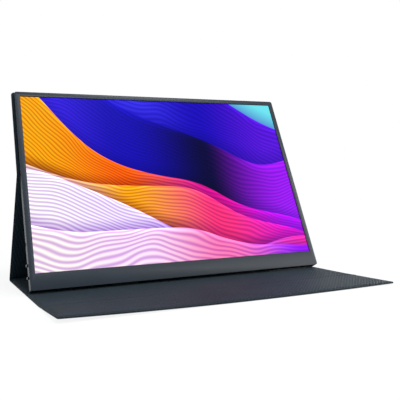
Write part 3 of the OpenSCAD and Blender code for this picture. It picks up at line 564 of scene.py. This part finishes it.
# %% [markdown]
# ## How the cover is laid
# The cover is a sandwich: leather outside, grey board in the middle, lining inside. Between two boards the
# leather and lining are pressed together and make a crease. It is cut as three lengths, each with one fold:
# the front cover with the flap's crease, the spine and strut with the fold on the table, and the upper
# panel with the crease behind the monitor. Each length follows a line in side view, with its bend rounded.

# %% The line of a fold
def fold_line(corners, radius):
    """A line in side view through three corners, in mm, with a rounded bend: its length, its bend's middle,
    and a function that gives the place and the inward direction at a length along it."""
    a, b, c = (Vector(corner) for corner in corners)
    first, second = (b - a).normalized(), (c - b).normalized()
    turn = math.atan2(first.x * second.y - first.y * second.x, first.dot(second))
    side = 1 if turn >= 0 else -1
    cut = radius * math.tan(abs(turn) / 2)
    run, arc = (b - a).length - cut, radius * abs(turn)
    whole = run + arc + (c - b).length - cut
    centre = a + first * run + Vector((-first.y, first.x)) * side * radius

    def at(s):
        bend = side * min(max((s - run) / radius, 0.0), abs(turn)) if arc else 0.0
        here = Matrix.Rotation(bend, 2) @ first
        if s <= run or not arc:
            spot = a + first * s
        elif s >= run + arc:
            spot = c - second * (whole - s)
        else:
            spot = centre - Vector((-here.y, here.x)) * side * radius
        return spot, Vector((-here.y, here.x))

    return whole, run + arc / 2, at


# places in side view, y and z in mm, on the middle of the cover's thickness
FRONT_RIM, FLAP_CREASE, SPINE_SEAM = (-127.35, 1.25), (-62.35, 1.25), (114.65, 1.25)
BACK_FOLD, UPPER_CREASE = (126.65, 1.25), (70.6592, 126.502)
RAMP = TILT - math.radians(2.086)  # the monitor's upper back is that much steeper than its screen
STRUT_LENGTH, UPPER_LENGTH = 134.197, 106.07
STRUT_WAY = (Vector(UPPER_CREASE) - Vector(BACK_FOLD)).normalized()
RAMP_WAY = Vector((math.sin(RAMP), math.cos(RAMP)))
STRUT_TOP = Vector(BACK_FOLD) + STRUT_WAY * STRUT_LENGTH
UPPER_RIM = Vector(UPPER_CREASE) + RAMP_WAY * UPPER_LENGTH
LINES = {
    "front": fold_line([FRONT_RIM, FLAP_CREASE, SPINE_SEAM], 2.0),
    "strut": fold_line([SPINE_SEAM, BACK_FOLD, STRUT_TOP], 1.6),
    "upper": fold_line([STRUT_TOP, UPPER_CREASE, UPPER_RIM], 2.0),
}
for name, (whole, middle, _) in LINES.items():
    print(f"{name} cover: {whole:.1f} mm long, folds at {middle:.1f} mm")

# %% [markdown]
# ## Cutting and laying a sheet
# A sheet starts as a flat grid, as the cloth is cut. Its rows are close together at rims and creases, where
# it bends, and wide apart elsewhere. Each point is then carried onto the fold's line: near a rim the lining
# comes down to the leather, so that the cover has a thin edge, and in a crease both meet in the middle.
# Solidify gives the sheet its thickness and Bevel eases the cut edge. The front has bowed a little with
# use, so its corners stand off the table, the left one most.

# %% A cut sheet
HALF_WIDTH, CORNER, RIM_WIDTH = 181.5, 3.0, 4.4
FINE = (0.0, 0.4, 0.9, 1.5, 2.2, 3.0, 4.5, 6.0)  # mm from a rim or crease at which a row lies
BOW_FROM, REST_AT = -48, 40  # y where the bow starts and x where it stays on the table, in mm
LEFT_BOW, RIGHT_BOW = 3.9, 1.2  # mm off the table at the two corners


def rows(low, high, step, marks):
    """Places from low to high, step apart and closer at the marks."""
    near = {round(m + way * f, 3) for m in marks for f in FINE for way in (-1, 1)}
    near = [low] + sorted(n for n in near if low + 0.1 < n < high - 0.1) + [high]
    count = int((high - low) / step)
    even = [low + (high - low) * i / count for i in range(1, count)]
    return sorted(near + [e for e in even if min(abs(e - n) for n in near) > step * 0.4])


def front_bow(x, y):
    """How far the bowed front stands off the table, in mm. It lies flat where the monitor's foot slides."""
    toward_edge = min(max((BOW_FROM - y) / (BOW_FROM - FRONT_RIM[0]), 0.0), 1.0) ** 1.1
    if x < REST_AT:
        return toward_edge * LEFT_BOW * ((REST_AT - x) / (HALF_WIDTH + REST_AT)) ** 2
    return toward_edge * RIGHT_BOW * ((x - REST_AT) / (HALF_WIDTH - REST_AT)) ** 2


def cut_sheet(name, line, layer, thickness, span=None, inset=0.0, creases=(), round_end=None, ripple=0.0):
    """A sheet along one of LINES. layer is (flat, rim, crease): how far inward its middle lies, in mm.
    A crease is (place, half width, rise): where it lies on the line and how much further in it is pressed."""
    whole, _, at = LINES[line]
    low, high = span or (0.0, whole)
    half = HALF_WIDTH - inset
    across = rows(-half, half, 9.0, (-half, half))
    lengthwise = rows(low, high, 7.0, [low, high, *(c for c, _, _ in creases)])
    bpy.ops.object.select_all(action="DESELECT")
    bpy.ops.mesh.primitive_grid_add(size=1, x_subdivisions=len(across) - 1,
                                    y_subdivisions=len(lengthwise) - 1)
    piece = bpy.context.object
    piece.name = piece.data.name = name
    for vertex in piece.data.vertices:
        x = across[round((vertex.co.x + 0.5) * (len(across) - 1))]
        s = lengthwise[round((vertex.co.y + 0.5) * (len(lengthwise) - 1))]
        from_side = half - abs(x)
        from_end = {"start": s - low, "end": high - s, None: 1e3}[round_end]
        from_rim = min(from_side, from_end)
        # a square corner of the grid is drawn in to a round one
        if from_side < CORNER and from_end < CORNER:
            dx, ds = CORNER - from_side, CORNER - from_end
            reach = math.hypot(dx, ds)
            pull = max(dx, ds) / reach
            x -= math.copysign(dx * (1 - pull), x)
            s += ds * (1 - pull) * (1 if round_end == "start" else -1)
            from_rim = CORNER - reach * pull
        rim = 1 - smooth(from_rim / RIM_WIDTH)
        crease, rise = max([(1 - smooth((abs(s - c) - 0.25 * w) / (0.75 * w)), r) for c, w, r in creases]
                           or [(0.0, 0.0)])
        press = max(rim, crease)
        toward = crease / (rim + crease + 1e-9)
        at_rim, at_crease = layer[1] - layer[0], layer[2] + rise - layer[0]
        inward = layer[0] + press * (at_rim * (1 - toward) + at_crease * toward)
        # shallow, uneven waves where the cloth isn't pressed
        inward += ripple * (1 - press) * math.sin(x / 31 + s / 47 + 1.1) * math.sin(s / 23 - x / 71 + 0.6)
        spot, inward_way = at(s)
        spot = spot + inward_way * inward
        lift = front_bow(x, spot.x) if line == "front" else 0.0
        vertex.co = Vector((x, spot.x, spot.y + lift)) * MM
    apply(piece, "SOLIDIFY", thickness=thickness * MM, offset=0.0, use_even_offset=True)
    apply(piece, "BEVEL", width=min(0.22, thickness / 3) * MM, segments=2, limit_method="ANGLE",
          angle_limit=math.radians(60))
    only(piece)
    bpy.ops.object.shade_smooth_by_angle(angle=math.radians(40))
    return piece


print("the left front corner stands", LEFT_BOW, "mm off the table")

# %% [markdown]
# ## Leather and lining
# The leather keeps close to the table and the lining comes down to it at the rims. Each pair crosses one
# joint. The seams between the three lengths lie in grooves pressed along the boards.

# %% Cover lengths
CLOTH, INSET = 0.7, 0.35  # mm: how thick both cloths are, and how far the lining is cut back at the sides
LEATHER, LINING = (-0.9, -0.7, -0.45), (0.9, 0.02, 0.27)  # their middles on the flat, at a rim, in a crease
TABLE_RISE = 0.35  # a crease on the table is pressed in from below
CREASES = {
    "front": [(65.0, 3.9, TABLE_RISE), (153.0, 0.9, TABLE_RISE), (242.0, 0.9, TABLE_RISE)],
    "strut": [(0.0, 0.9, TABLE_RISE), (LINES["strut"][1], 4.1, 0.0), (LINES["strut"][0] + 3.0, 4.1, 0.0)],
    "upper": [(LINES["upper"][1], 4.1, 0.0)],
}
ROUND_END = {"front": "start", "strut": None, "upper": "end"}
COVERS = {
    # piece: (line, layer, inset, ripple, finish, slot, the nodes that it stands for)
    "front_leather": ("front", LEATHER, 0.0, 0.0, leather, "cover_skin", ("base_skin", "flap_skin")),
    "front_lining": ("front", LINING, INSET, 0.1, lining, "lining", ("base_lining", "flap_lining")),
    "strut_leather": ("strut", LEATHER, 0.0, 0.16, leather, "cover_skin", ("strut_skin",)),
    "strut_lining_sheet": ("strut", LINING, INSET, 0.1, lining, "lining", ("strut_lining",)),
    "upper_leather": ("upper", LEATHER, 0.0, 0.16, leather, "cover_skin", ("upper_skin",)),
    "upper_lining_sheet": ("upper", LINING, INSET, 0.0, lining, "lining", ("upper_lining",)),
}
for name, (line, layer, inset, ripple, finish, slot_name, stands_for) in COVERS.items():
    piece = cut_sheet(name, line, layer, CLOTH, None, inset, CREASES[line], ROUND_END[line], ripple)
    piece.data.materials.append(finish)
    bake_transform(piece)
    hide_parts(*stands_for)
    print(f"{name}: {len(piece.data.polygons)} faces")

# %% [markdown]
# ## Grey boards
# The boards stiffen the panels and stop short of the rims and creases, so that the edge can be thin. They
# are cut from the same lines and lie between leather and lining, each on the body of its panel.

# %% Boards
CARD, CARD_INSET = 1.04, 4.8  # mm
FROM_FOLD = 4.4  # mm from a fold's middle to a board
upper_from, strut_from = LINES["upper"][1] + FROM_FOLD, LINES["strut"][1] + FROM_FOLD
CARDS = {
    # piece: (line, from and to along it, body, the node that it stands for)
    "flap_card": ("front", (4.8, 60.8), "front_flap", "flap_board"),
    "seat_card": ("front", (69.2, 151.8), "base", "seat_board"),
    "rear_card": ("front", (154.2, 240.8), "base", "rear_board"),
    "spine_card": ("strut", (1.2, 7.6), "base", "spine_board"),
    "strut_card": ("strut", (strut_from, LINES["strut"][0] - 1.4), "strut", "strut_board"),
    "upper_card": ("upper", (upper_from, LINES["upper"][0] - CARD_INSET), "monitor", "upper_board"),
}
for name, (line, span, body, stands_for) in CARDS.items():
    piece = cut_sheet(name, line, (0.0, 0.0, 0.0), CARD, span, CARD_INSET)
    piece.data.materials.append(HARD["cover_board"])
    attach(piece, body)
    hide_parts(stands_for)
print("boards:", len(CARDS))

# %% [markdown]
# ## The flap's magnets
# Four flat magnets in the flap hold it shut on the screen. They sit in the board, so where it has bowed up
# they go with it. Their copy is merged first, and then each of its points is lifted by the same bow.

# %% Flap magnets
magnets = merged_copy("flap_magnets", "flap_magnet_set")
for vertex in magnets.data.vertices:
    vertex.co.z += front_bow(vertex.co.x / MM, vertex.co.y / MM) * MM
apply(magnets, "BEVEL", width=0.15 * MM, segments=2)
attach(magnets, "front_flap")
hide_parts("flap_magnets")
print("magnet faces:", len(magnets.data.polygons))
